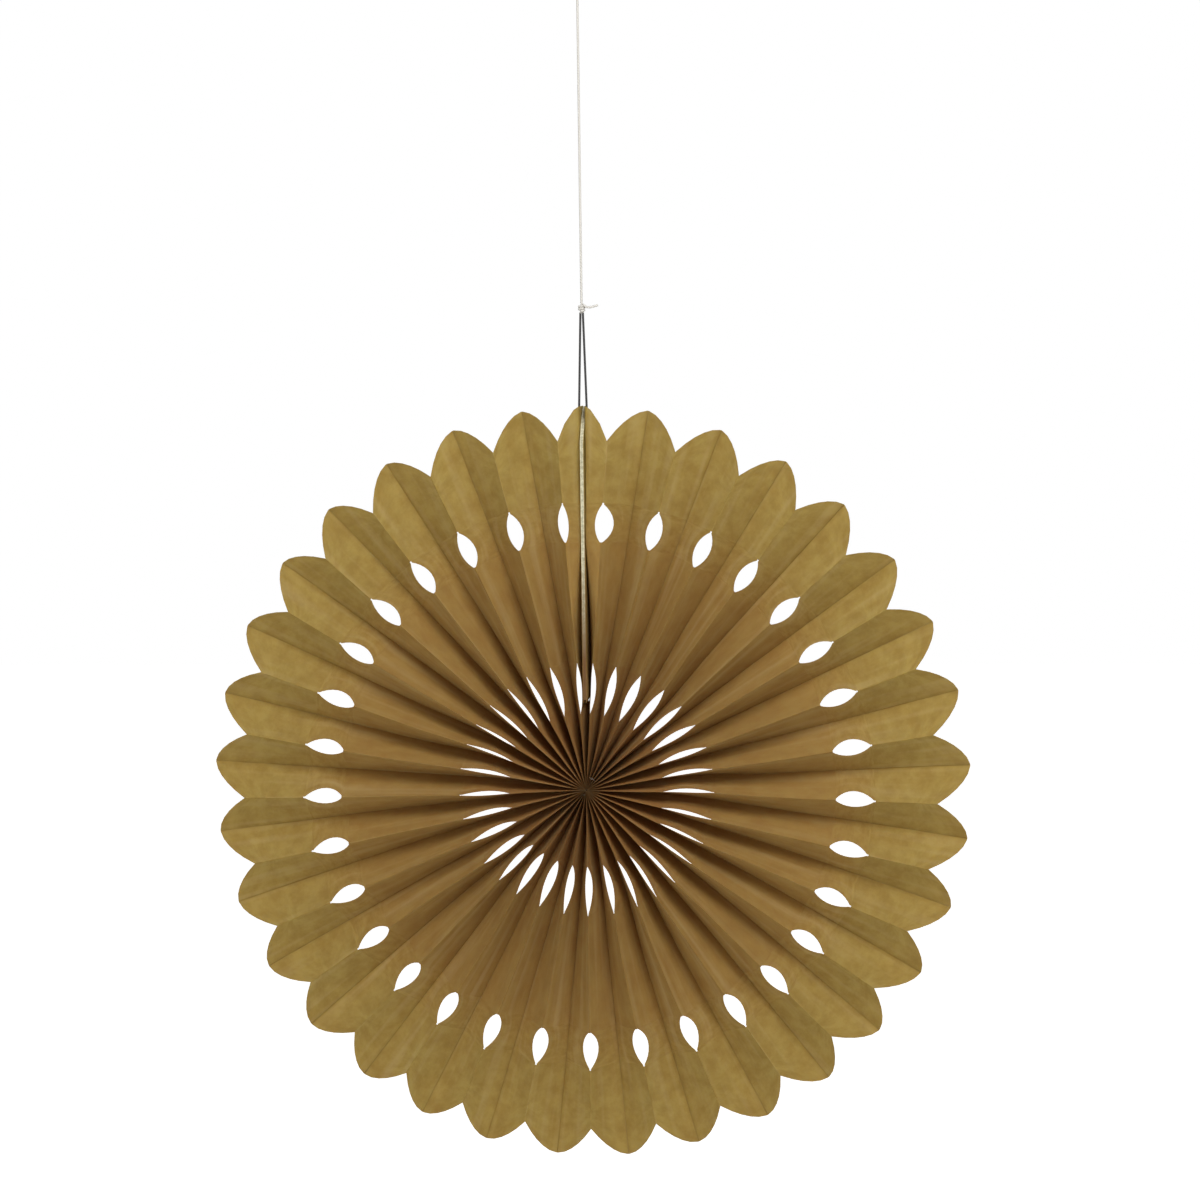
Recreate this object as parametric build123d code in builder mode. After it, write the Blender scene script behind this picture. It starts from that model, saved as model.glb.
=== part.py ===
from build123d import *
import os
from math import asin, atan2, cos, degrees, hypot, radians, sin, sqrt, tan

# A hanging paper fan: one pleated tissue strip opened to a full circle round its hub.
# Millimetres, +Z up, the fan's axis along Y and its front towards -Y, the origin at the hub.

# The opened strip
fan_radius = 203.0  # hub to petal tip, a fan of 16 inches
notch_depth = 18.5  # petal tip down to the notch between two petals
tip_power = 1.65  # 1 is a straight-sided point, and more is a rounder tip
tip_steps = (0, 0.2, 0.45, 0.7, 1)  # corners of the cut edge, from tip to notch
petals = 32  # whole petals, besides the narrow one at the seam
seam_pitch = 8.1  # degrees between the two front folds beside the seam
rim_depth = 9.0  # front fold to back fold at the petal tips
paper = 0.3
core_radius = 8.0  # the pleats are pressed into one mass inside this
core_recess = 4.0  # from the front and back folds in to the pressed mass
core_bite = 0.5  # how far the open pleats run into that mass
overcut = 2.0  # a cut runs past what it goes through by this

# What is cut out of every front fold
hole_from_tip = 61.0  # petal tip in to the middle of the outer hole
hole_length = 21.0
hole_width = 8.4
slit_reach = 54.5  # hub to the middle of the slit
slit_length = 27.0
slit_width = 3.0
leaf_chords = 5  # straight lengths that make up each side of a cut-out
crease_margin = 9.5  # a panel's slope changes this far from the ends of a cut-out

# The cards and tape at the seam
card = 0.8
card_start = 48.0  # hub to the inner end of the cards
card_inset = 0.3  # a card's edges stand this far inside the end panel's
tape = 0.1
tape_width = 10.0
tape_margin = 22.0  # from the cards' two ends to the tape's

# The binding at the hub
bind_reach = 5.0  # hub to the thread, inside the pressed mass
thread = 0.8
thread_hole = 1.4

# The hanging string
string = 1.2
string_sides = 8
string_hole = 3.2
hole_below_tip = 14.0
string_play = 0.5  # between the string and what it rests against
strand_gap = 0.1  # between the two strands at a knot
knot_height = 49.0  # petal tip up to the lower knot
knot_width = 4.2
knot_tall = 5.0
knot_chamfer = 0.6
tail_reach = 8.0  # the cut end that stands out of the lower knot
tail_rise = 0.2
strand_height = 200.0  # lower knot up to the upper knot
loop_tall = 20.0
loop_wide = 9.0

# Angles and widths that follow from those
petal_pitch = (360 - seam_pitch) / petals
half_petal = petal_pitch / 2
half_seam = seam_pitch / 2
pleat_width = hypot(fan_radius * tan(radians(half_petal)), rim_depth)
notch_radius = fan_radius - notch_depth
deep = 4 * pleat_width  # longer than any cut through the pleats
stack = tape / 2 + card  # the seam's middle to a card's outer face
flange = stack + paper
hole_reach = fan_radius - hole_from_tip
slit_clear = slit_length / 2 + crease_margin
hole_clear = hole_length / 2 + crease_margin
crease_reaches = (  # from the pressed mass to past the petal tips
    core_radius - core_bite,
    slit_reach - slit_clear,
    slit_reach + slit_clear,
    hole_reach - hole_clear,
    hole_reach + hole_clear,
    fan_radius + overcut,
)


def half_width(reach, half_angle):
    return reach * tan(radians(half_angle))


def fold_depth(reach, half_angle):
    return sqrt(pleat_width**2 - half_width(reach, half_angle) ** 2)


def fold_wall(reach, half_angle):
    # the sheet's thickness measured along the fan's axis, from its slope
    depth = fold_depth(reach, half_angle)
    across = half_width(reach, half_angle) * sqrt(pleat_width**2 - paper**2)
    return paper * pleat_width**2 / (paper * depth + across)


def ridge_front(reach):
    return -fold_depth(reach, half_petal) / 2


def fold_points(reach, half_angle):
    # one V of the strip, from front fold to back fold to front fold
    side = half_width(reach, half_angle)
    front = ridge_front(reach)
    front_inner = front + fold_wall(reach, half_petal)
    back = front + fold_depth(reach, half_angle)
    back_inner = back - fold_wall(reach, half_angle)
    return [
        (-side, front),
        (0, back_inner),
        (side, front),
        (side, front_inner),
        (0, back),
        (-side, front_inner),
    ]


def ridge_plane(reach, angle):
    # faces the front, with its upright along the front fold at that angle from the top
    turn = radians(angle)
    return Plane(
        origin=(reach * sin(turn), 0, reach * cos(turn)),
        x_dir=(cos(turn), 0, -sin(turn)),
        z_dir=(0, -1, 0),
    )


def leaf(length, width):
    # a pointed oval, upright
    side = ThreePointArc((0, -length / 2), (width / 2, 0), (0, length / 2))
    right = [side @ (chord / leaf_chords) for chord in range(leaf_chords)]
    with BuildSketch(Plane.XY) as oval:
        with BuildLine():
            Polyline(right + [-corner for corner in right], close=True)
        make_face()
    return oval.sketch


hole_leaf = leaf(hole_length, hole_width)
slit_leaf = leaf(slit_length, slit_width)


def cut_reach(step):
    # hub to the sheet's cut edge, from 0 at a petal's tip to 1 at its notch
    return fan_radius - notch_depth * step**tip_power


def petal_outline(half_angle):
    # the petal's front view, down to the hub
    right = []
    for step in tip_steps:
        turn = radians(step * half_angle)
        right.append((cut_reach(step) * sin(turn), cut_reach(step) * cos(turn)))
    right.append((right[-1][0], 0))
    left = [(-across, height) for across, height in reversed(right[1:])]
    with BuildSketch(Plane.XY) as outline:
        with BuildLine():
            Polyline(right + left, close=True)
        make_face()
    return outline.sketch


def creased_sheet(half_angle):
    # each panel turns from steep at the hub to shallow at the rim in flat facets
    sections = []
    for reach in crease_reaches:
        sections.append([(across, deep_in, reach) for across, deep_in in fold_points(reach, half_angle)])
    faces = [Face(Wire.make_polygon(sections[0])), Face(Wire.make_polygon(sections[-1]))]
    back_folds = (1, 4)
    for low, high in zip(sections, sections[1:]):
        for here in range(len(low)):
            after = (here + 1) % len(low)
            ridge, valley = (after, here) if here in back_folds else (here, after)
            if valley in back_folds:
                faces.append(Face(Wire.make_polygon([low[ridge], high[ridge], high[valley]])))
                faces.append(Face(Wire.make_polygon([low[ridge], high[valley], low[valley]])))
            else:
                faces.append(Face(Wire.make_polygon([low[here], high[here], high[after], low[after]])))
    return Solid(Shell(faces))


def pleat(half_angle):
    with BuildPart() as vee:
        add(creased_sheet(half_angle))
        with BuildSketch(Plane.XZ):
            add(petal_outline(half_angle))
        extrude(amount=deep, both=True, mode=Mode.INTERSECT)
        for side in (-half_angle, half_angle):
            with BuildSketch(ridge_plane(hole_reach, side)):
                add(hole_leaf)
            extrude(amount=deep, both=True, mode=Mode.SUBTRACT)
            with BuildSketch(ridge_plane(slit_reach, side)):
                add(slit_leaf)
            extrude(amount=deep, both=True, mode=Mode.SUBTRACT)
    return vee.part


# The folded sheet: all its pleats round the circle, with its two end panels standing forward at the seam
ridge_angles = [half_seam + place * petal_pitch for place in range(petals + 1)]
petal_angles = [angle + half_petal for angle in ridge_angles[:-1]]
ridge_turns = [radians(angle) for angle in ridge_angles]
core_corner = core_radius / cos(radians(half_petal))
core_corners = [(core_corner * sin(turn), core_corner * cos(turn)) for turn in ridge_turns]
petal = pleat(half_petal)
seam_petal = pleat(half_seam)


def end_panel():
    # seen from the side, the tip at the back fold and the notch at the front edge
    corners = [(pleat_width / 2 - step * pleat_width, cut_reach(step)) for step in tip_steps]
    corners += [(-pleat_width / 2, card_start), (pleat_width / 2, card_start)]
    with BuildSketch(Plane.XY) as panel:
        with BuildLine():
            Polyline(corners, close=True)
        make_face()
    return panel.sketch


hole_height = fan_radius - hole_below_tip
with BuildPart() as pleated_paper:
    add(seam_petal)
    with Locations([Location((0, 0, 0), (0, angle, 0)) for angle in petal_angles]):
        add(petal)
    with BuildSketch(Plane.XZ):
        with BuildLine():
            Polyline(core_corners, close=True)
        make_face()
    extrude(amount=pleat_width / 2 - core_recess, both=True)
    with BuildSketch(Plane.XY):
        with Locations((bind_reach, 0)):
            Rectangle(thread_hole, thread_hole)
    revolve(axis=Axis.Y, mode=Mode.SUBTRACT)
    with BuildSketch(Plane.YZ):
        add(end_panel())
    extrude(amount=flange, both=True)
    with Locations((0, 0, card_start + fan_radius)):
        Box(2 * stack, deep, 2 * fan_radius, mode=Mode.SUBTRACT)
    with Locations((0, 0, hole_height)):
        Cylinder(string_hole / 2, 2 * flange + overcut, rotation=(0, 90, 0), mode=Mode.SUBTRACT)
pleated_paper.part.label = "pleated_paper"


def end_card(inner_face):
    # a card as large as the end panel, less its inset, with the same hole for the string
    with BuildPart() as strip:
        with BuildSketch(Plane.YZ.offset(inner_face)):
            add(end_panel())
            offset(amount=-card_inset, kind=Kind.INTERSECTION, mode=Mode.REPLACE)
        extrude(amount=card)
        with Locations((inner_face + card / 2, 0, hole_height)):
            Cylinder(string_hole / 2, card + overcut, rotation=(0, 90, 0), mode=Mode.SUBTRACT)
    return strip.part


# The two cards glued inside the end panels
with BuildPart() as left_end_card:
    add(end_card(-stack))
left_end_card.part.label = "left_end_card"

with BuildPart() as right_end_card:
    add(end_card(tape / 2))
right_end_card.part.label = "right_end_card"

# The tape between the cards
tape_bottom = card_start + tape_margin
tape_top = notch_radius - tape_margin
with BuildPart() as seam_tape:
    with Locations((0, 0, (tape_bottom + tape_top) / 2)):
        Box(tape, tape_width, tape_top - tape_bottom)
seam_tape.part.label = "seam_tape"

# The thread that runs through every panel round the hub
with BuildPart() as binding_thread:
    with BuildSketch(Plane.XY):
        with Locations((bind_reach, 0)):
            Rectangle(thread, thread)
    revolve(axis=Axis.Y)
binding_thread.part.label = "binding_thread"

# The string through the cards, doubled up to the lower knot
loop_side = flange + string_play + string / 2
loop_bottom = hole_height + string_hole / 2 - string_play - string / 2
strand_side = string / 2 + strand_gap / 2
lower_knot_bottom = fan_radius + knot_height
lower_knot_top = lower_knot_bottom + knot_tall


def doubled_string(bend_radius, bend_height, knot_face):
    # one round bend, and two strands that leave it at a tangent and meet at a knot's flat face
    up = 1 if knot_face > bend_height else -1
    run = abs(knot_face - bend_height)
    lean = asin(bend_radius / hypot(strand_side, run)) - atan2(strand_side, run)
    strand = run * cos(lean) - strand_side * sin(lean)
    start = Plane(
        origin=(bend_radius * cos(lean), 0, bend_height + up * bend_radius * sin(lean)),
        x_dir=(0, 1, 0),
        z_dir=(-sin(lean), 0, up * cos(lean)),
    )
    with BuildPart() as doubled:
        with BuildSketch(start):
            RegularPolygon(string / 2, string_sides)
        bend_axis = Axis((0, 0, bend_height), (0, up, 0))
        revolve(axis=bend_axis, revolution_arc=180 + 2 * degrees(lean))
        extrude(doubled.faces().filter_by(GeomType.PLANE), amount=strand + string)
        keep = Keep.BOTTOM if up > 0 else Keep.TOP
        split(bisect_by=Plane.XY.offset(knot_face), keep=keep)
    return doubled.part


def knot(bottom):
    # a tied lump, flat where the strands enter it
    with BuildPart() as lump:
        with BuildSketch(Plane.XY.offset(bottom)):
            RegularPolygon(knot_width / 2, string_sides)
        extrude(amount=knot_tall)
        ends = lump.faces().filter_by(Axis.Z)
        chamfer(ends.edges(), knot_chamfer)
    return lump.part


with BuildPart() as string_loop:
    add(doubled_string(loop_side, loop_bottom + loop_side, lower_knot_bottom))
string_loop.part.label = "string_loop"

with BuildPart() as lower_knot:
    add(knot(lower_knot_bottom))
    with BuildSketch(Plane(origin=(0, 0, lower_knot_bottom + knot_tall / 2), z_dir=(1, 0, tail_rise))):
        RegularPolygon(string / 2, string_sides)
    extrude(amount=tail_reach)
lower_knot.part.label = "lower_knot"

# The single strand up to the loop that it hangs by
upper_knot_bottom = lower_knot_top + strand_height
with BuildPart() as hanging_string:
    with BuildSketch(Plane.XY.offset(lower_knot_top)):
        RegularPolygon(string / 2, string_sides)
    extrude(amount=strand_height)
hanging_string.part.label = "hanging_string"

with BuildPart() as upper_knot:
    add(knot(upper_knot_bottom))
upper_knot.part.label = "upper_knot"

top_loop_bottom = upper_knot_bottom + knot_tall
with BuildPart() as top_loop:
    add(doubled_string(loop_wide / 2, top_loop_bottom + loop_tall - loop_wide / 2, top_loop_bottom))
top_loop.part.label = "top_loop"

pieces = [
    pleated_paper,
    left_end_card,
    right_end_card,
    seam_tape,
    binding_thread,
    string_loop,
    lower_knot,
    hanging_string,
    upper_knot,
    top_loop,
]
os.makedirs("parts", exist_ok=True)
for piece in pieces:
    export_step(piece.part, f"parts/{piece.part.label}.step")
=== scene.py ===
import math

import bpy
import numpy as np
from mathutils import Matrix, Vector


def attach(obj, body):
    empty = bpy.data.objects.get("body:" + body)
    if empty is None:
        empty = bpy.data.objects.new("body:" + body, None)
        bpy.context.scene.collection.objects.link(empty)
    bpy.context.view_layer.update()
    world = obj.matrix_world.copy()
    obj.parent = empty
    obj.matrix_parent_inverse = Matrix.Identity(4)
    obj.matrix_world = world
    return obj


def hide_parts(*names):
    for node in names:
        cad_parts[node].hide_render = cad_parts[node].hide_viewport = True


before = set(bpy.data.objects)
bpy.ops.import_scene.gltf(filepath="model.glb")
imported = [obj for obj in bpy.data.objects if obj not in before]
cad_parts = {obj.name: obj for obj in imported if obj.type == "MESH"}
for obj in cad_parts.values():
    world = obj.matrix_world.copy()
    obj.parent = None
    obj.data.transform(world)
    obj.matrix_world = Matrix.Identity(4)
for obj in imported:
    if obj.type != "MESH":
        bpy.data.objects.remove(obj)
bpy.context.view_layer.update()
mm = 0.001
print("frame loaded:", sorted(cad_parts))


# Small helpers for colours, nodes and the selection

def linearColour(hexCode):
    # an sRGB hex value as linear red, green, blue and alpha
    channels = [int(hexCode[place:place + 2], 16) / 255 for place in (1, 3, 5)]
    linear = [c / 12.92 if c <= 0.04045 else ((c + 0.055) / 1.055) ** 2.4 for c in channels]
    return (*linear, 1.0)


def addNode(tree, kind, inputs=None, **settings):
    # a node with its settings, and its inputs set to a value or linked to a socket
    node = tree.nodes.new(kind)
    for name, value in settings.items():
        setattr(node, name, value)
    for name, value in (inputs or {}).items():
        if isinstance(value, bpy.types.NodeSocket):
            tree.links.new(value, node.inputs[name])
        else:
            node.inputs[name].default_value = value
    return node


def newMaterial(name):
    material = bpy.data.materials.new(name)
    material.use_nodes = True
    material.node_tree.nodes.clear()
    return material, material.node_tree


def finishMaterial(tree, inputs):
    shader = addNode(tree, "ShaderNodeBsdfPrincipled", inputs)
    addNode(tree, "ShaderNodeOutputMaterial", {"Surface": shader.outputs["BSDF"]})


def deselectAll():
    if bpy.context.object and bpy.context.object.mode != "OBJECT":
        bpy.ops.object.mode_set(mode="OBJECT")
    bpy.ops.object.select_all(action="DESELECT")


def makeActive(piece):
    deselectAll()
    piece.select_set(True)
    bpy.context.view_layer.objects.active = piece


def dress(piece, material):
    piece.data.materials.clear()
    piece.data.materials.append(material)


# The camera stands a little to the right of the fan and above it, and leans a little

cameraSettings = {
    "azimuth": 5.5,
    "elevation": 6.0,
    "lens": 85.0,
    "sensor": 36.0,
    "frameWidth": 636.0 * mm,  # of the picture, at the fan
    "aim": (7.7 * mm, 0.0, 100.4 * mm),
    "roll": 0.75,
}


def makeCamera(settings):
    distance = settings["frameWidth"] * settings["lens"] / settings["sensor"]
    turn, rise = math.radians(settings["azimuth"]), math.radians(settings["elevation"])
    back = Vector((math.sin(turn) * math.cos(rise), -math.cos(turn) * math.cos(rise), math.sin(rise)))
    data = bpy.data.cameras.new("camera")
    data.lens = settings["lens"]
    data.sensor_width = settings["sensor"]
    camera = bpy.data.objects.new("camera", data)
    bpy.context.scene.collection.objects.link(camera)
    place = Vector(settings["aim"]) + distance * back
    look = (-back).to_track_quat("-Z", "Y").to_matrix().to_4x4()
    roll = Matrix.Rotation(math.radians(-settings["roll"]), 4, "Z")
    camera.matrix_world = Matrix.Translation(place) @ look @ roll
    bpy.context.scene.camera = camera


makeCamera(cameraSettings)
print("camera placed")


# Twisted thread: a matt yarn with slanting shade between its plies, in bleached cotton and in grey

stringSettings = {
    "diameter": 1.2 * mm,
    "cotton": {"light": "#DDDAD4", "dark": "#BDB9B0"},
    "grey": {"light": "#3B3A39", "dark": "#2A2928"},
    "ply": 1.5,  # millimetres from one ply to the next along the string
    "unevenness": 1.0,
    "bump": (0.5, 0.1),  # its strength, and its depth in millimetres
    "roughness": 0.85,
    "sheen": 0.05,
    "roundness": 3,  # steps in a quarter of the string's round section
    "steps": 16,  # along the string, from one point of its route to the next
}


def twistedThread(name, colours, s):
    material, tree = newMaterial(name)
    place = addNode(tree, "ShaderNodeTexCoord")
    plies = addNode(tree, "ShaderNodeTexWave", {
        "Vector": place.outputs["Object"],
        "Scale": math.tau / (10 * s["ply"] * mm),
        "Distortion": s["unevenness"],
        "Detail": 1.0,
    }, wave_type="BANDS", bands_direction="DIAGONAL")
    colour = addNode(tree, "ShaderNodeMix", {
        "Factor": plies.outputs["Fac"],
        "A": linearColour(colours["dark"]),
        "B": linearColour(colours["light"]),
    }, data_type="RGBA")
    bump = addNode(tree, "ShaderNodeBump", {
        "Height": plies.outputs["Fac"],
        "Strength": s["bump"][0],
        "Distance": s["bump"][1] * mm,
    })
    finishMaterial(tree, {
        "Base Color": colour.outputs["Result"],
        "Normal": bump.outputs["Normal"],
        "Roughness": s["roughness"],
        "Sheen Weight": s["sheen"],
    })
    return material


cottonString = twistedThread("twisted_cotton_string", stringSettings["cotton"], stringSettings)
greyThread = twistedThread("twisted_grey_thread", stringSettings["grey"], stringSettings)

# The hanging string's three stretches: through the cards, up to the upper knot, and the loop at the top.
# Lengths are in metres, and points in millimetres from the hub

routes = {
    "stringLoop": {
        "node": "string_loop",
        "material": greyThread,
        "slot": "loop_thread",
        "length": 0.128,
        "points": [
            (-0.65, 0, 252), (-2.25, 0, 194), (-2.25, 0, 189.5),
            (2.25, 0, 189.5), (2.25, 0, 194), (0.65, 0, 252),
        ],
    },
    "hangingString": {
        "node": "hanging_string",
        "material": cottonString,
        "slot": "string",
        "length": 0.2,
        "points": [(0, 0, 257), (0, 0, 357), (0, 0, 457)],
    },
    "topLoop": {
        "node": "top_loop",
        "material": cottonString,
        "slot": "string",
        "length": 0.047,
        "points": [
            (-0.65, 0, 462), (-4.5, 0, 474), (-4.5, 0, 482),
            (4.5, 0, 482), (4.5, 0, 474), (0.65, 0, 462),
        ],
    },
}


def layString(name, points, material):
    curve = bpy.data.curves.new(name, "CURVE")
    curve.dimensions = "3D"
    curve.bevel_depth = stringSettings["diameter"] / 2
    curve.bevel_resolution = stringSettings["roundness"]
    curve.resolution_u = stringSettings["steps"]
    curve.use_fill_caps = True
    spline = curve.splines.new("NURBS")
    spline.points.add(len(points) - 1)
    for point, (x, y, z) in zip(spline.points, points):
        point.co = (x * mm, y * mm, z * mm, 1)
    spline.order_u = 3
    spline.use_endpoint_u = True
    piece = bpy.data.objects.new(name, curve)
    bpy.context.scene.collection.objects.link(piece)
    dress(piece, material)
    return piece


strings = {name: layString(name, route["points"], route["material"]) for name, route in routes.items()}
print("string laid")


# The two knots: the string wound round its own strands and drawn tight. Points are in millimetres from
# a knot's lower end

knotSettings = {
    "lower": 252.0,  # from the hub up to each knot's lower end
    "upper": 457.0,
    "height": 5.0,
    "margin": 0.9,  # from a knot's ends to the first and last wind
    "winds": 2.5,
    "pointsPerWind": 12,
    "windRadius": 1.4,
    "start": [(-0.65, 0, -0.2), (-0.3, -0.2, 0.45)],
    "cutTail": [(1.2, -1.9, 4.2), (2.4, -1.2, 2.9), (5.16, -0.4, 2.7), (8.6, 0, 3.9)],
    "runOn": [(0.9, 1.2, 4.2), (0.65, 0.4, 5.2)],
    "strand": [(0.65, 0, -0.2), (0.3, 0.2, 2.5), (0, 0, 5.2)],  # what the winds go round
}


def tieKnot(name, bottom, ending):
    s = knotSettings
    count = int(s["winds"] * s["pointsPerWind"])
    rise = s["height"] - 2 * s["margin"]
    winds = []
    for step in range(count + 1):
        turn = math.tau * s["winds"] * step / count
        winds.append((
            s["windRadius"] * math.sin(turn),
            -s["windRadius"] * math.cos(turn),
            s["margin"] + rise * step / count,
        ))
    wound = [(x, y, bottom + z) for x, y, z in s["start"] + winds + ending]
    straight = [(x, y, bottom + z) for x, y, z in s["strand"]]
    winding = layString(name, wound, cottonString)
    strand = layString(name + "Strand", straight, cottonString)
    deselectAll()
    strand.select_set(True)
    winding.select_set(True)
    bpy.context.view_layer.objects.active = winding
    bpy.ops.object.convert(target="MESH")
    bpy.ops.object.join()
    makeActive(winding)
    bpy.ops.object.shade_smooth()
    return winding


lowerKnot = tieKnot("lowerKnot", knotSettings["lower"], knotSettings["cutTail"])
upperKnot = tieKnot("upperKnot", knotSettings["upper"], knotSettings["runOn"])
print("knots tied")


# The paper: one flat strip that is cut, folded and opened round its hub, in millimetres

paperSettings = {
    "fanRadius": 203.0,
    "notchDepth": 18.5,
    "tipPower": 1.65,  # 1 is a straight-sided point, and more is a rounder tip
    "petals": 32,
    "seamPitch": 8.1,  # degrees between the two front folds beside the seam
    "rimDepth": 9.0,
    "hubReach": 0.5,
    "seamStart": 48.0,  # hub to the inner end of the two end panels
    "seamSide": 1.0,  # the seam's middle to an end panel
    "seamClosing": 3.0,  # from the seam's start inwards, over which the strip's two ends come together
    "hole": {"reach": 142.0, "length": 21.0, "width": 8.4},
    "slit": {"reach": 54.5, "length": 27.0, "width": 3.0},
    "innerRows": (34.0, 9),  # hub to the last row inside the slits, and how many there are
    "cutRows": 14,  # along each cut-out
    "rowsBetween": (74, 82, 91, 100, 109, 118, 126),  # hub to each row between the slits and the holes
    "rowsBeyond": (157, 162, 167),  # and to each row from the holes to the scalloped edge
    "tipRows": 6,
    "tipStart": 172.0,
    "columns": 7,  # across one panel
    "foldShare": 0.03,  # of a panel, beside a fold
    "thickness": 0.12,
    "smoothAngle": 25.0,
    "bow": 0.35,  # how far a panel swells between its folds
    "bowPace": (7.7, 0.021),  # how fast that changes from panel to panel, and along a panel
    "seamHug": 0.97,  # how closely the panels beside the seam follow the cards, 0 for flat panels
    "hugReach": (75.0, 130.0),  # hub to where they begin to, and to where they fully do
    "hugTurn": 6.0,  # how sharply they then turn out to the first front folds
    "hugSpread": 1.7,  # their columns stand closer together at the front by this power
    "sway": 0.25,  # how far a fold strays sideways at the rim, in degrees
    "slitSway": 1.0,  # and how far beside the slits
    "slitGape": 0.5,  # how much wider the slits stand open along the diagonal that the fan is pulled on
    "gapeTurn": 28.0,  # degrees of that diagonal from the top
    "seamHoles": (0.9, 1.35),  # how wide the holes left and right of the seam stand open, 1 for the rest
    "lift": 0.6,  # how far a fold strays in depth at the rim
    # the waves that the folds stray by: strength, pace from fold to fold, and shift from kind to kind
    "stray": ((1.0, 12.9898, 4.1), (0.6, 5.31, 1.7)),
}


def rowReaches(s):
    # the rows of the strip, close together beside the cut-outs
    rows = list(np.linspace(s["hubReach"], *s["innerRows"]))
    swing = -np.cos(np.linspace(0, math.pi, s["cutRows"]))
    for cut, following in ((s["slit"], s["rowsBetween"]), (s["hole"], s["rowsBeyond"])):
        rows += list(cut["reach"] + swing * cut["length"] / 2)
        rows += list(following)
    return np.array(rows + [s["tipStart"]] * (s["tipRows"] + 1))


def leafHalfWidth(cut, reach):
    # half the width of a pointed oval at a distance from the hub, 0 outside it
    long, wide = cut["length"], cut["width"]
    arc = long * long / (4 * wide) + wide / 4
    inside = np.clip(arc * arc - (reach - cut["reach"]) ** 2, 0, None)
    return np.clip(np.sqrt(inside) - (arc - wide / 2), 0, None)


def opened(rows, low, high, s, half):
    # whether the faces between two rows lie along a cut-out
    middle = (rows[low] + rows[high]) / 2 / math.cos(half)
    return any(abs(middle - cut["reach"]) < cut["length"] / 2 for cut in (s["hole"], s["slit"]))


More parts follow.
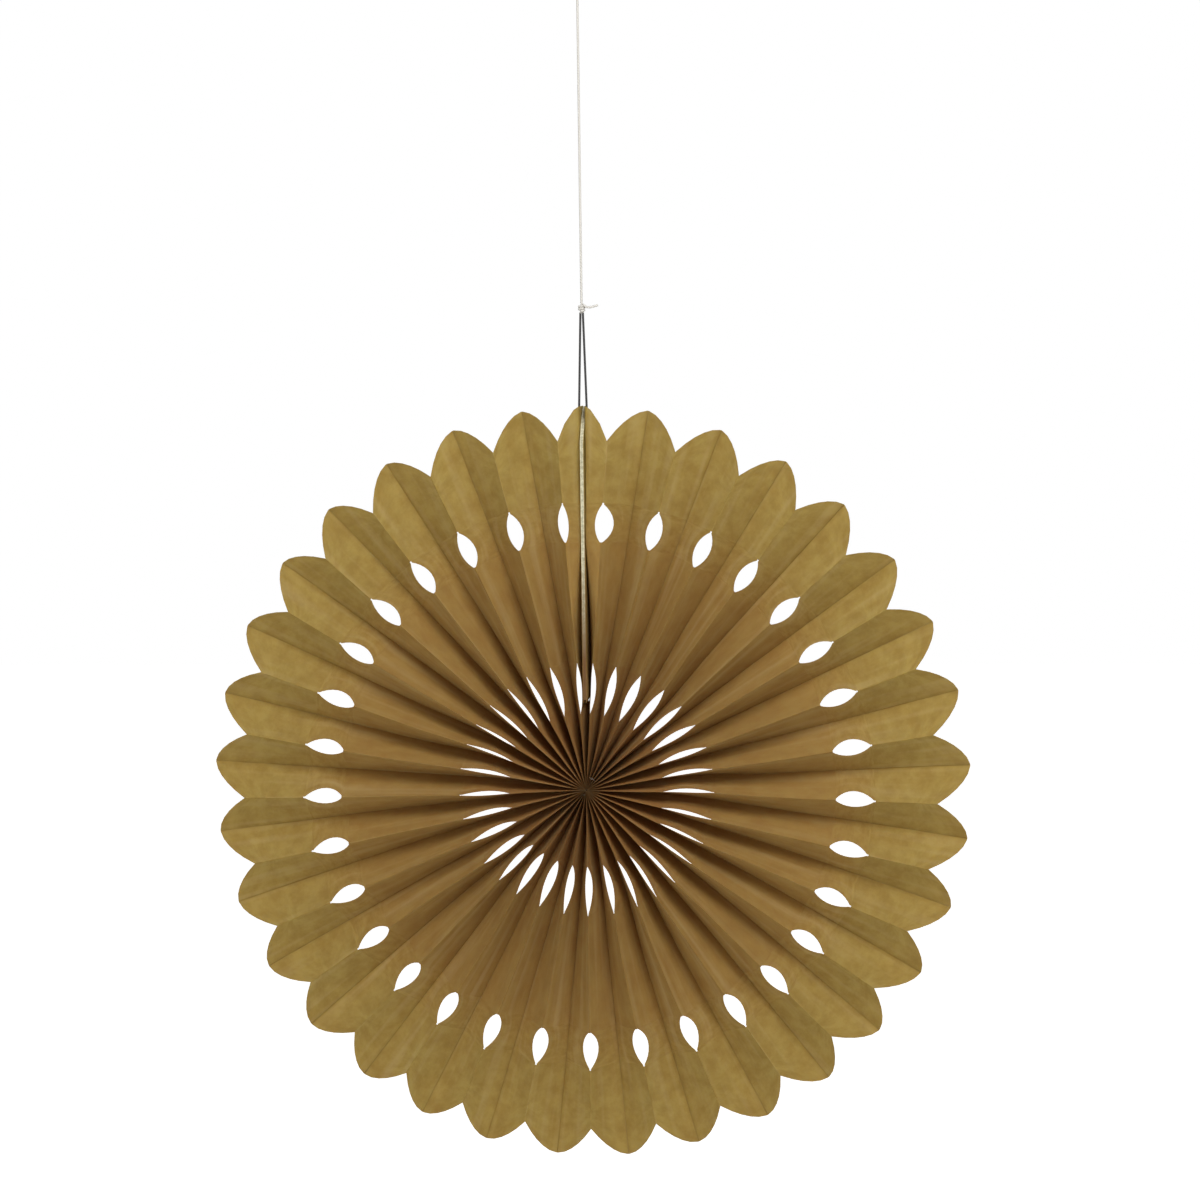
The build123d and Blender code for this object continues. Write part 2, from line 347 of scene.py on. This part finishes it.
def foldPaper(s):
    pitch = (360 - s["seamPitch"]) / s["petals"]
    half, halfSeam = math.radians(pitch / 2), math.radians(s["seamPitch"] / 2)
    width = math.hypot(s["fanRadius"] * math.tan(half), s["rimDepth"])
    rows, columns = rowReaches(s), s["columns"]
    panels = 2 * s["petals"] + 4
    deselectAll()
    bpy.ops.mesh.primitive_grid_add(
        x_subdivisions=panels * columns, y_subdivisions=len(rows) - 1, size=1, calc_uvs=True
    )
    sheet = bpy.context.object
    sheet.name = "pleatedPaper"
    mesh = sheet.data
    flat = np.zeros(len(mesh.vertices) * 3)
    mesh.vertices.foreach_get("co", flat)
    flat = flat.reshape(-1, 3)
    across = np.rint((flat[:, 0] + 0.5) * panels * columns).astype(int)
    along = np.rint((flat[:, 1] + 0.5) * (len(rows) - 1)).astype(int)

    # where each point lies on its panel, and its front and back folds, counted from the strip's left end
    panel = np.minimum(across // columns, panels - 1)
    column = across - panel * columns
    column = np.where(panel % 2 == 0, column, columns - column)
    reach = rows[along]
    front, behind = panel + panel % 2, panel + 1 - panel % 2
    ending = (panel == 0) | (panel == panels - 1)
    besideSeam = (panel == 1) | (panel == panels - 2)

    # how far a cut-out opens the panel at its front fold, as a share of the panel
    frontTurn = -halfSeam - (front - 2) * half
    gape = 1 + s["slitGape"] * np.cos(2 * (frontTurn - math.radians(s["gapeTurn"])))
    leftHole, rightHole = s["seamHoles"]
    holeGape = np.where(front == 2, leftHole, np.where(front == panels - 2, rightHole, 1))
    onFold = reach / math.cos(half)
    gap = gape * leafHalfWidth(s["slit"], onFold) + holeGape * leafHalfWidth(s["hole"], onFold)
    gap = np.where(ending, 0, gap) / (reach * math.tan(half))

    # each point's share of its panel, from 0 at the front fold to 1 at the back fold
    hugStart, hugEnd = s["hugReach"]
    hugging = s["seamHug"] * np.clip((reach - hugStart) / (hugEnd - hugStart), 0, 1)
    hugging = np.where(besideSeam, hugging, 0)
    first = np.maximum(s["foldShare"], gap)
    first = np.where(hugging > 0, 1 - (1 - first) ** (1 / s["hugTurn"]), first)
    spread = np.clip((column - 1) / (columns - 2), 0, 1) ** np.where(besideSeam, s["hugSpread"], 1)
    last = 1 - s["foldShare"]
    share = np.where(column == 0, 0, np.where(column == columns, 1, first + spread * (last - first)))

    # the scalloped edge takes up the last rows; the panels beside the seam follow the cards forwards before
    # they turn out to the first front folds
    tip = np.clip((along - (len(rows) - 1 - s["tipRows"])) / s["tipRows"], 0, 1)
    hugAside = hugging * (1 - share - (1 - share) ** s["hugTurn"])
    hugFront = hugging * (share - share ** s["hugTurn"])
    edge = s["fanRadius"] - s["notchDepth"] * (1 - share - hugAside) ** s["tipPower"]
    reach = reach + tip * (edge - reach)

    # the places of the two folds, from the left end of the strip round to the right end
    depth = np.sqrt(width ** 2 - (reach * math.tan(half)) ** 2)
    rim = (reach / s["fanRadius"]) ** 2
    nearSlit = np.exp(-((reach - s["slit"]["reach"]) / s["slit"]["length"]) ** 2)

    def strayed(fold, kind):
        # uneven from fold to fold, and the same in every run
        return sum(strength * np.sin(fold * pace + kind * shift) for strength, pace, shift in s["stray"])

    def foldPlace(fold, isFront):
        turn = -halfSeam - (fold - 2) * half
        turn = turn + math.radians(s["sway"]) * strayed(fold, 0) * rim
        turn = turn + math.radians(s["slitSway"]) * strayed(fold, 2) * nearSlit
        radius = reach / math.cos(half) if isFront else reach
        y = (-depth if isFront else depth) / 2 + s["lift"] * strayed(fold, 1) * rim
        place = np.stack([radius * np.sin(turn), y, radius * np.cos(turn)], axis=1)
        side = np.where(fold < panels / 2, -1, 1)
        apart = s["seamSide"] * np.clip((reach - s["seamStart"]) / s["seamClosing"] + 1, 0, 1)
        if isFront:
            atSeam = (fold == 0) | (fold == panels)
            seamY = np.full(len(reach), -width / 2)
        else:
            atSeam = (fold == 1) | (fold == panels - 1)
            lean = reach * math.tan(halfSeam) - apart
            seamY = np.minimum(-depth / 2 + np.sqrt(width ** 2 - lean ** 2), width / 2)
        seam = np.stack([side * apart, seamY, reach], axis=1)
        return np.where(atSeam[:, None], seam, place)

    frontPlace, backPlace = foldPlace(front, True), foldPlace(behind, False)
    folded = frontPlace + share[:, None] * (backPlace - frontPlace)
    panelPace, reachPace = s["bowPace"]
    swell = np.sin(math.pi * share) * s["bow"] * np.sin(panel * panelPace + reach * reachPace) * rim
    folded[:, 1] += np.where(ending, 0, swell)
    folded += (backPlace - frontPlace) * np.stack([hugAside, -hugFront, 0 * share], axis=1)
    mesh.vertices.foreach_set("co", (folded * mm).ravel())
    mesh.update()

    # what is cut away: the leaf shapes at the front folds, and the end panels inside the seam's start
    bpy.ops.object.mode_set(mode="EDIT")
    bpy.ops.mesh.select_all(action="DESELECT")
    bpy.ops.object.mode_set(mode="OBJECT")
    for face in mesh.polygons:
        corners = list(face.vertices)
        low, high = along[corners].min(), along[corners].max()
        inEnding = across[corners].max() <= columns or across[corners].min() >= (panels - 1) * columns
        beside = column[corners].min() == 0 and column[corners].max() <= 1
        cutOut = beside and not inEnding and opened(rows, low, high, s, half)
        face.select = cutOut or (inEnding and rows[high] < s["seamStart"])
    bpy.ops.object.mode_set(mode="EDIT")
    bpy.ops.mesh.delete(type="FACE")
    bpy.ops.object.mode_set(mode="OBJECT")
    makeActive(sheet)
    wall = sheet.modifiers.new("thickness", "SOLIDIFY")
    wall.thickness = s["thickness"] * mm
    wall.offset = 0
    bpy.ops.object.modifier_apply(modifier=wall.name)
    bpy.ops.object.shade_smooth_by_angle(angle=math.radians(s["smoothAngle"]))
    return sheet, panels, width


paper, panelCount, panelWidth = foldPaper(paperSettings)
print("paper folded:", len(paper.data.polygons), "faces")


# Tissue paper, dyed in the pulp and die-cut: matt ochre with cloudy fibres, pale streaks along its pleats
# that are painted sheen on its crinkles, painted shade along its back folds, and browner painted shade
# towards the hub

tissueSettings = {
    "ochre": "#9A8549",
    "deep": "#8B743C",
    "hubShadeTone": "#895C34",
    "paleSheen": "#BBA878",
    "creaseShade": "#5E4823",
    "cloud": 7.0,  # millimetres across one cloud of fibres
    "cloudRange": (0.35, 0.65),  # of the noise, from the deep tone to the ochre
    "fibre": 1.2,  # drawn coarser than the real fibres, so that they show
    "fibreTurn": 0.5,
    "fibreStretch": 4.0,
    "fibreBump": (0.3, 0.15),  # strength, and depth in millimetres
    "crinkle": 11.0,
    "crinkleBump": (0.35, 1.2),
    "sheenStreak": (6.0, 90.0),  # across and along one pale streak of painted sheen
    "sheenStreakRange": (0.5, 0.75),
    "sheenStreakShare": 0.25,
    "hubShadeReach": (0.05, 0.9),  # shares of the strip's width where the painted hub shade is full and gone
    "hubShadeShare": 0.9,
    "creaseShadeWidth": 0.2,  # share of a panel with painted shade at a back fold
    "creaseShadeShare": 0.4,
    "glow": 0.5,  # how much light goes through the sheet
    "glowDepth": 0.6,
    "glowColour": (1.0, 0.65, 0.3),  # how far red, green and blue light go, as shares of that depth
    "roughness": 0.9,
    "gloss": 0.1,
}


def tissuePaper(s):
    material, tree = newMaterial("dyed_tissue_paper_and_painted_shade")
    place = addNode(tree, "ShaderNodeUVMap", uv_map="UVMap")
    stripLong = panelCount * panelWidth * mm
    stripWide = paperSettings["fanRadius"] * mm
    metres = addNode(tree, "ShaderNodeMapping", {
        "Vector": place.outputs["UV"],
        "Scale": (stripLong, stripWide, 1),
    })
    clouds = addNode(tree, "ShaderNodeTexNoise", {
        "Vector": metres.outputs["Vector"],
        "Scale": 1 / (s["cloud"] * mm),
        "Detail": 4.0,
        "Roughness": 0.6,
    })
    stretched = addNode(tree, "ShaderNodeMapping", {
        "Vector": metres.outputs["Vector"],
        "Rotation": (0, 0, s["fibreTurn"]),
        "Scale": (1, 1 / s["fibreStretch"], 1),
    })
    fibres = addNode(tree, "ShaderNodeTexNoise", {
        "Vector": stretched.outputs["Vector"],
        "Scale": 1 / (s["fibre"] * mm),
        "Detail": 3.0,
    })
    drawn = addNode(tree, "ShaderNodeMapping", {
        "Vector": metres.outputs["Vector"],
        "Scale": (1, s["sheenStreak"][0] / s["sheenStreak"][1], 1),
    })
    sheenStreakNoise = addNode(tree, "ShaderNodeTexNoise", {
        "Vector": drawn.outputs["Vector"],
        "Scale": 1 / (s["sheenStreak"][0] * mm),
        "Detail": 2.0,
    })
    crinkles = addNode(tree, "ShaderNodeTexNoise", {
        "Vector": metres.outputs["Vector"],
        "Scale": 1 / (s["crinkle"] * mm),
        "Detail": 2.0,
    })
    apart = addNode(tree, "ShaderNodeSeparateXYZ", {"Vector": place.outputs["UV"]})
    inPanels = addNode(tree, "ShaderNodeMath", {
        0: apart.outputs["X"],
        1: float(panelCount),
    }, operation="MULTIPLY")
    fromFront = addNode(tree, "ShaderNodeMath", {
        0: inPanels.outputs["Value"],
        1: 1.0,
    }, operation="PINGPONG")
    # painted shade: browner towards the hub, standing in for the light that bounces between the deep pleats
    # there
    hubShadeMask = addNode(tree, "ShaderNodeMapRange", {
        "Value": apart.outputs["Y"],
        "From Min": s["hubShadeReach"][0],
        "From Max": s["hubShadeReach"][1],
        "To Min": s["hubShadeShare"],
        "To Max": 0.0,
    })
    # painted sheen: pale streaks along the pleats, laid at random, where crinkles catch the light
    sheenStreak = addNode(tree, "ShaderNodeMapRange", {
        "Value": sheenStreakNoise.outputs["Fac"],
        "From Min": s["sheenStreakRange"][0],
        "From Max": s["sheenStreakRange"][1],
        "To Min": 0.0,
        "To Max": s["sheenStreakShare"],
    })
    # painted shade along the back folds, where the pleats hide the light
    creaseShade = addNode(tree, "ShaderNodeMapRange", {
        "Value": fromFront.outputs["Value"],
        "From Min": 1 - s["creaseShadeWidth"],
        "From Max": 1.0,
        "To Min": 0.0,
        "To Max": s["creaseShadeShare"],
    })
    cloudShare = addNode(tree, "ShaderNodeMapRange", {
        "Value": clouds.outputs["Fac"],
        "From Min": s["cloudRange"][0],
        "From Max": s["cloudRange"][1],
    })
    colour = addNode(tree, "ShaderNodeMix", {
        "Factor": cloudShare.outputs["Result"],
        "A": linearColour(s["deep"]),
        "B": linearColour(s["ochre"]),
    }, data_type="RGBA")
    for share, name in ((hubShadeMask, "hubShadeTone"), (sheenStreak, "paleSheen"), (creaseShade, "creaseShade")):
        colour = addNode(tree, "ShaderNodeMix", {
            "Factor": share.outputs["Result"],
            "A": colour.outputs["Result"],
            "B": linearColour(s[name]),
        }, data_type="RGBA")
    crinkled = addNode(tree, "ShaderNodeBump", {
        "Height": crinkles.outputs["Fac"],
        "Strength": s["crinkleBump"][0],
        "Distance": s["crinkleBump"][1] * mm,
    })
    fibrous = addNode(tree, "ShaderNodeBump", {
        "Height": fibres.outputs["Fac"],
        "Normal": crinkled.outputs["Normal"],
        "Strength": s["fibreBump"][0],
        "Distance": s["fibreBump"][1] * mm,
    })
    finishMaterial(tree, {
        "Base Color": colour.outputs["Result"],
        "Normal": fibrous.outputs["Normal"],
        "Roughness": s["roughness"],
        "Specular IOR Level": s["gloss"],
        "Subsurface Weight": s["glow"],
        "Subsurface Radius": s["glowColour"],
        "Subsurface Scale": s["glowDepth"] * mm,
    })
    return material


dress(paper, tissuePaper(tissueSettings))

# Grey board, pressed from waste fibre: a dull pale edge with darker specks, and brown painted shade
# towards the hub

cardSettings = {
    "pale": "#D2CCAE",
    "speck": "#ABA485",
    "boardShade": "#6A4A27",
    "boardShadeReach": (70.0, 125.0),  # millimetres from the hub where the painted shade is full and gone
    "grain": 1.6,
    "grainRange": (0.4, 0.6),  # of the noise, from the specks to the pale board
    "bump": (0.3, 0.1),  # strength, and depth in millimetres
    "roughness": 0.9,
}


def greyBoard(s):
    material, tree = newMaterial("pressed_grey_board")
    place = addNode(tree, "ShaderNodeTexCoord")
    specks = addNode(tree, "ShaderNodeTexNoise", {
        "Vector": place.outputs["Object"],
        "Scale": 1 / (s["grain"] * mm),
        "Detail": 5.0,
        "Roughness": 0.7,
    })
    share = addNode(tree, "ShaderNodeMapRange", {
        "Value": specks.outputs["Fac"],
        "From Min": s["grainRange"][0],
        "From Max": s["grainRange"][1],
    })
    colour = addNode(tree, "ShaderNodeMix", {
        "Factor": share.outputs["Result"],
        "A": linearColour(s["speck"]),
        "B": linearColour(s["pale"]),
    }, data_type="RGBA")
    apart = addNode(tree, "ShaderNodeSeparateXYZ", {"Vector": place.outputs["Object"]})
    # painted shade: darker towards the hub, where the pleats hide the light
    boardShade = addNode(tree, "ShaderNodeMapRange", {
        "Value": apart.outputs["Z"],
        "From Min": s["boardShadeReach"][0] * mm,
        "From Max": s["boardShadeReach"][1] * mm,
        "To Min": 1.0,
        "To Max": 0.0,
    })
    boardShaded = addNode(tree, "ShaderNodeMix", {
        "Factor": boardShade.outputs["Result"],
        "A": colour.outputs["Result"],
        "B": linearColour(s["boardShade"]),
    }, data_type="RGBA")
    bump = addNode(tree, "ShaderNodeBump", {
        "Height": specks.outputs["Fac"],
        "Strength": s["bump"][0],
        "Distance": s["bump"][1] * mm,
    })
    finishMaterial(tree, {
        "Base Color": boardShaded.outputs["Result"],
        "Normal": bump.outputs["Normal"],
        "Roughness": s["roughness"],
    })
    return material


boardMaterial = greyBoard(cardSettings)
for name in ("left_end_card", "right_end_card"):
    dress(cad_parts[name], boardMaterial)

# Double-sided tape on a tissue base: a thin cream layer with a faint gloss from its gum

tapeSettings = {"cream": "#DCD5BD", "gum": "#C9BF9E", "patch": 4.0, "roughness": 0.55}


def gummedTape(s):
    material, tree = newMaterial("gummed_tissue_tape")
    place = addNode(tree, "ShaderNodeTexCoord")
    patches = addNode(tree, "ShaderNodeTexNoise", {
        "Vector": place.outputs["Object"],
        "Scale": 1 / (s["patch"] * mm),
        "Detail": 3.0,
    })
    colour = addNode(tree, "ShaderNodeMix", {
        "Factor": patches.outputs["Fac"],
        "A": linearColour(s["gum"]),
        "B": linearColour(s["cream"]),
    }, data_type="RGBA")
    finishMaterial(tree, {"Base Color": colour.outputs["Result"], "Roughness": s["roughness"]})
    return material


dress(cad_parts["seam_tape"], gummedTape(tapeSettings))
dress(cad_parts["binding_thread"], cottonString)
print("materials set")


# Which body each piece goes with, and what it stands for

for name, piece in strings.items():
    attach(piece, "root")
    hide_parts(routes[name]["node"])
for piece, node in ((lowerKnot, "lower_knot"), (upperKnot, "upper_knot")):
    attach(piece, "root")
    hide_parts(node)
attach(paper, "root")
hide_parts("pleated_paper")


# Pale floor and soft studio light, in metres and watts

stageSettings = {
    "floorHeight": -0.45,
    "floorSize": 8.0,
    "floorColour": "#F4F3F0",
    "worldColour": "#FFFFFF",
    "worldStrength": 0.28,
    "whiteAdded": 0.8,  # what the floor shows the camera besides its own light
    "key": {"place": (0.4, -0.9, 0.95), "size": 0.6, "power": 13.2},
    "fill": {"place": (-0.5, -1.6, -0.2), "size": 0.8, "power": 10.0},
}


def cameraShare(tree):
    # 1 for what the camera, a mirror or glass sees of the background
    path = addNode(tree, "ShaderNodeLightPath")
    both = addNode(tree, "ShaderNodeMath", {
        0: path.outputs["Is Camera Ray"], 1: path.outputs["Is Glossy Ray"],
    }, operation="MAXIMUM")
    return addNode(tree, "ShaderNodeMath", {
        0: both.outputs["Value"], 1: path.outputs["Is Transmission Ray"],
    }, operation="MAXIMUM").outputs["Value"]


def makeStage(s):
    deselectAll()
    bpy.ops.mesh.primitive_plane_add(size=s["floorSize"], location=(0, 0, s["floorHeight"]))
    floor = bpy.context.object
    floor.name = "floor"
    material, tree = newMaterial("pale_painted_floor")
    seen = cameraShare(tree)
    paint = addNode(tree, "ShaderNodeBsdfDiffuse", {"Color": linearColour(s["floorColour"])})
    strength = addNode(tree, "ShaderNodeMath", {0: seen, 1: s["whiteAdded"]}, operation="MULTIPLY")
    glow = addNode(tree, "ShaderNodeEmission", {"Strength": strength.outputs["Value"]})
    both = addNode(tree, "ShaderNodeAddShader", {0: paint.outputs["BSDF"], 1: glow.outputs["Emission"]})
    addNode(tree, "ShaderNodeOutputMaterial", {"Surface": both.outputs["Shader"]})
    dress(floor, material)

    world = bpy.data.worlds.new("studio")
    bpy.context.scene.world = world
    world.use_nodes = True
    tree = world.node_tree
    tree.nodes.clear()
    light = addNode(tree, "ShaderNodeMapRange", {
        "Value": cameraShare(tree), "To Min": s["worldStrength"], "To Max": 1.0,
    })
    sky = addNode(tree, "ShaderNodeBackground", {
        "Color": linearColour(s["worldColour"]), "Strength": light.outputs["Result"],
    })
    addNode(tree, "ShaderNodeOutputWorld", {"Surface": sky.outputs["Background"]})

    for name in ("key", "fill"):
        data = bpy.data.lights.new(name, "AREA")
        data.size = s[name]["size"]
        data.energy = s[name]["power"]
        lamp = bpy.data.objects.new(name, data)
        bpy.context.scene.collection.objects.link(lamp)
        place = Vector(s[name]["place"])
        look = (-place).to_track_quat("-Z", "Y").to_matrix().to_4x4()
        lamp.matrix_world = Matrix.Translation(place) @ look


makeStage(stageSettings)
bpy.context.scene.view_settings.view_transform = "Standard"
print("stage lit")
